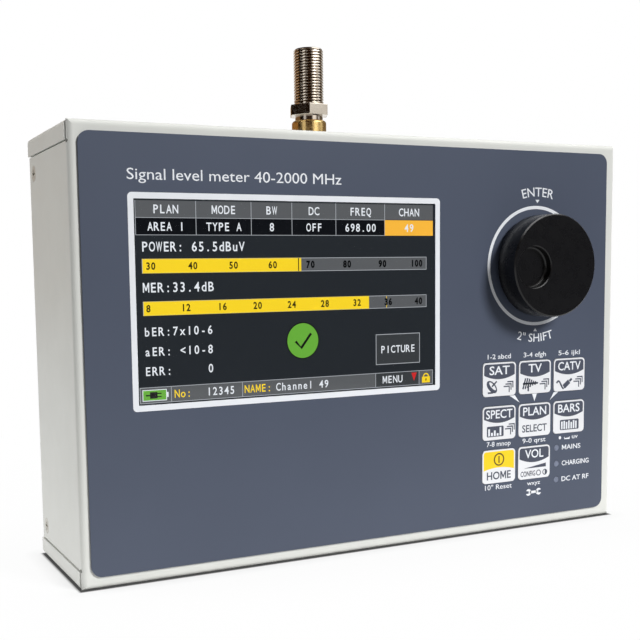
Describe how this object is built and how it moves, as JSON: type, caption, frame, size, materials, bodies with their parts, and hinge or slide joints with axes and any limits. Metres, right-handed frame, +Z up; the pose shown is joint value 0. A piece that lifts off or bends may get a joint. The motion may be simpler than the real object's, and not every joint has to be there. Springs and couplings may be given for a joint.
{
  "type": "signal level meter",
  "caption": "Portable signal level meter: folded grey metal case, slate front film, colour screen, push-and-turn knob, keys and a threaded coaxial input on the roof.",
  "frame": {"origin": "middle of the case's flat underside", "axes": "+X to the right seen from the front, along the longest extent; +Y from the front panel to the rear cover; +Z up, out of the roof"},
  "size_m": [0.1914, 0.056, 0.1577],
  "materials": {
    "case_paint": "fine matt powder coat, warm light grey",
    "overlay_film": "fine matt printed film, slate blue",
    "clear_window": "clear polished film",
    "screen_black": "gloss screen glass",
    "steel": "bright zinc-plated steel",
    "foam": "closed-cell foam",
    "board_green": "solder-masked glass-fibre board",
    "ribbon_amber": "polyimide flat cable",
    "key_white": "printed white film over a moulded pad",
    "key_yellow": "printed yellow and white film over a moulded pad",
    "plunger_white": "natural moulded nylon",
    "switch_black": "black moulded nylon",
    "lamp_lens": "diffused lens",
    "knob_black": "satin black turned knob",
    "nickel": "nickel plate, lightly handled",
    "gilt": "gilt brass",
    "insulator": "white fluoropolymer",
    "battery_wrap": "shrink-wrapped cells",
    "speaker_black": "paper cone and steel basket"
  },
  "bodies": {
    "case": {"front_housing": "case_paint", "rear_cover": "case_paint", "front_overlay": "overlay_film", "screen_window": "clear_window", "screen_glass": "screen_black", "case_screws": "steel", "clinch_nuts": "steel", "screen_frame": "steel", "screen_bracket": "steel", "screen_posts": "steel", "screen_screws": "steel", "keypad_posts": "steel", "keypad_screws": "steel", "board_posts": "steel", "board_screws": "steel", "tuner_can": "steel", "processor_shield": "steel", "encoder_body": "steel", "encoder_washer": "steel", "battery_strap": "steel", "data_socket": "steel", "screen_gasket": "foam", "keypad_board": "board_green", "main_board": "board_green", "screen_ribbon": "ribbon_amber", "key_switches": "switch_black", "power_socket": "switch_black", "status_lamps": "lamp_lens", "input_adapter": "nickel", "input_roof_nut": "nickel", "encoder_bush": "nickel", "encoder_nut": "nickel", "input_collar": "gilt", "input_contact": "gilt", "input_insulator": "insulator", "battery_pack": "battery_wrap", "speaker": "speaker_black"},
    "push_actuator": {"encoder_plunger": "plunger_white"},
    "knob": {"tuning_knob": "knob_black", "encoder_shaft": "steel", "knob_set_screw": "steel"},
    "key_top_left": {"key_top_left": "key_white", "plunger_top_left": "plunger_white"},
    "key_top_middle": {"key_top_middle": "key_white", "plunger_top_middle": "plunger_white"},
    "key_top_right": {"key_top_right": "key_white", "plunger_top_right": "plunger_white"},
    "key_middle_left": {"key_middle_left": "key_white", "plunger_middle_left": "plunger_white"},
    "key_centre": {"key_centre": "key_white", "plunger_centre": "plunger_white"},
    "key_middle_right": {"key_middle_right": "key_white", "plunger_middle_right": "plunger_white"},
    "key_power": {"key_power": "key_yellow", "plunger_power": "plunger_white"},
    "key_volume": {"key_volume": "key_white", "plunger_volume": "plunger_white"}
  },
  "joints": [
    {"name": "knob_press", "type": "slide", "parent": "case", "child": "push_actuator", "axis": [0, 1, 0], "range_m": [0, 0.0005], "stiffness_N_per_m": 6000},
    {"name": "knob_turn", "type": "hinge", "parent": "push_actuator", "child": "knob", "pos_m": [0.06105, -0.02275, 0.088], "axis": [0, 1, 0], "continuous": true},
    {"name": "top_left_key_press", "type": "slide", "parent": "case", "child": "key_top_left", "axis": [0, 1, 0], "range_m": [0, 0.0003], "stiffness_N_per_m": 5000},
    {"name": "top_middle_key_press", "type": "slide", "parent": "case", "child": "key_top_middle", "axis": [0, 1, 0], "range_m": [0, 0.0003], "stiffness_N_per_m": 5000},
    {"name": "top_right_key_press", "type": "slide", "parent": "case", "child": "key_top_right", "axis": [0, 1, 0], "range_m": [0, 0.0003], "stiffness_N_per_m": 5000},
    {"name": "middle_left_key_press", "type": "slide", "parent": "case", "child": "key_middle_left", "axis": [0, 1, 0], "range_m": [0, 0.0003], "stiffness_N_per_m": 5000},
    {"name": "centre_key_press", "type": "slide", "parent": "case", "child": "key_centre", "axis": [0, 1, 0], "range_m": [0, 0.0003], "stiffness_N_per_m": 5000},
    {"name": "middle_right_key_press", "type": "slide", "parent": "case", "child": "key_middle_right", "axis": [0, 1, 0], "range_m": [0, 0.0003], "stiffness_N_per_m": 5000},
    {"name": "power_key_press", "type": "slide", "parent": "case", "child": "key_power", "axis": [0, 1, 0], "range_m": [0, 0.0003], "stiffness_N_per_m": 5000},
    {"name": "volume_key_press", "type": "slide", "parent": "case", "child": "key_volume", "axis": [0, 1, 0], "range_m": [0, 0.0003], "stiffness_N_per_m": 5000}
  ]
}
